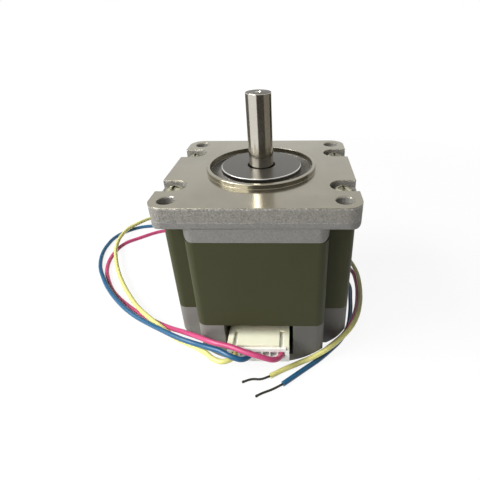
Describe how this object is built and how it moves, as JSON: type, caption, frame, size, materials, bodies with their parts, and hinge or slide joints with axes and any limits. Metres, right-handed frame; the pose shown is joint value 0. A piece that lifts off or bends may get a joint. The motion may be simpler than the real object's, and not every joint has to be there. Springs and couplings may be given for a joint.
{
  "type": "stepper motor",
  "caption": "Square-flanged hybrid stepper motor with a round output shaft, a side connector and a plugged set of coloured leads.",
  "frame": {"origin": "centre of the flat rear face", "axes": "+Z along the output shaft, away from the rear face; -Y towards the connector"},
  "size_m": [0.1278, 0.1251, 0.084],
  "materials": {
    "cast_bell": "die cast, machined on the front face",
    "stator_paint": "satin olive paint over the laminations",
    "insulator": "moulded",
    "copper_wire": "enamelled copper",
    "zinc_screw": "bright zinc plate",
    "bearing_steel": "ground and polished",
    "cage_brass": "pressed",
    "shaft_steel": "ground",
    "rotor_steel": "laminated",
    "magnet": "plain",
    "board": "green solder mask",
    "header_plastic": "ivory moulding",
    "plug_plastic": "white moulding",
    "contact": "tinned",
    "pink_wire": "soft vinyl",
    "blue_wire": "soft vinyl",
    "yellow_wire": "soft vinyl",
    "strand": "twisted tinned strands"
  },
  "bodies": {
    "housing": {"front_end_bell": "cast_bell", "rear_end_bell": "cast_bell", "stator_core": "stator_paint", "front_insulator": "insulator", "rear_insulator": "insulator", "phase_u_coils": "copper_wire", "phase_v_coils": "copper_wire", "phase_w_coils": "copper_wire", "assembly_screws": "zinc_screw", "front_bearing_outer_race": "bearing_steel", "front_bearing_shields": "bearing_steel", "rear_bearing_outer_race": "bearing_steel", "rear_bearing_shields": "bearing_steel", "wave_washer": "bearing_steel", "terminal_board": "board", "coil_leads": "copper_wire", "header_housing": "header_plastic", "header_pins": "contact", "plug_housing": "plug_plastic", "plug_terminals": "contact", "pink_lead": "pink_wire", "blue_lead": "blue_wire", "yellow_lead": "yellow_wire", "pink_strands": "strand", "blue_strands": "strand", "yellow_strands": "strand"},
    "rotor": {"shaft": "shaft_steel", "front_rotor_cup": "rotor_steel", "rotor_magnet": "magnet", "rear_rotor_cup": "rotor_steel", "front_bearing_inner_race": "bearing_steel", "rear_bearing_inner_race": "bearing_steel"},
    "front_balls": {"front_bearing_balls": "bearing_steel", "front_bearing_cage": "cage_brass"},
    "rear_balls": {"rear_bearing_balls": "bearing_steel", "rear_bearing_cage": "cage_brass"}
  },
  "joints": [
    {"name": "shaft_spin", "type": "hinge", "parent": "housing", "child": "rotor", "pos_m": [0, 0, 0.072], "axis": [0, 0, 1], "continuous": true},
    {"name": "front_cage_spin", "type": "hinge", "parent": "housing", "child": "front_balls", "pos_m": [0, 0, 0.0562], "axis": [0, 0, 1], "continuous": true},
    {"name": "rear_cage_spin", "type": "hinge", "parent": "housing", "child": "rear_balls", "pos_m": [0, 0, 0.0077], "axis": [0, 0, 1], "continuous": true}
  ],
  "couplings": [
    {"joint": "front_cage_spin", "follows": "shaft_spin", "ratio": 0.368},
    {"joint": "rear_cage_spin", "follows": "shaft_spin", "ratio": 0.368}
  ]
}
